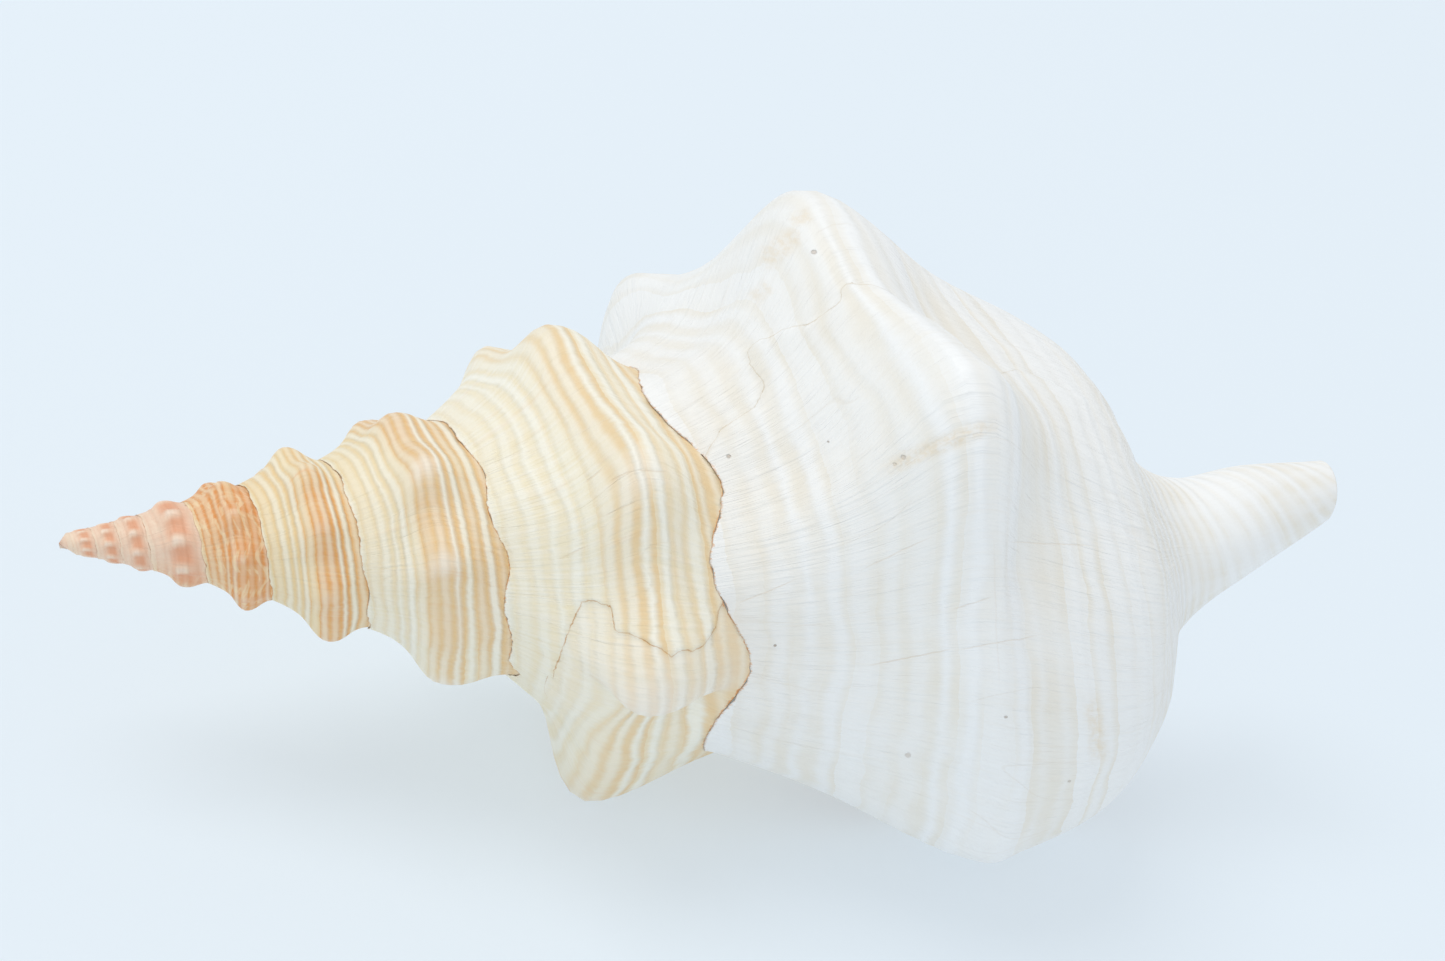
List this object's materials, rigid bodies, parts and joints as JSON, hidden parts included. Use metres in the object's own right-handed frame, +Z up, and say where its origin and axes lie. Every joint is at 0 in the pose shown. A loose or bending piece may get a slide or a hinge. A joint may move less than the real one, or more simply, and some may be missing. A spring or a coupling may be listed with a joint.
{
  "type": "horse conch shell",
  "caption": "Large spiral sea snail shell with a knobbed spire, a broad last whorl, a wide mouth and a long open canal, lying on its mouth side.",
  "frame": {"origin": "centre of the bounding box in X and Y, on the surface the shell rests on", "axes": "+X along the shell towards the canal's tip, the apex towards -X, +Z up as the shell lies on its mouth side"},
  "size_m": [0.2396, 0.1166, 0.1115],
  "materials": {
    "shell": "low sheen, cream with orange-tan spiral bands"
  },
  "bodies": {
    "root": {"shell": "shell"}
  },
  "joints": []
}
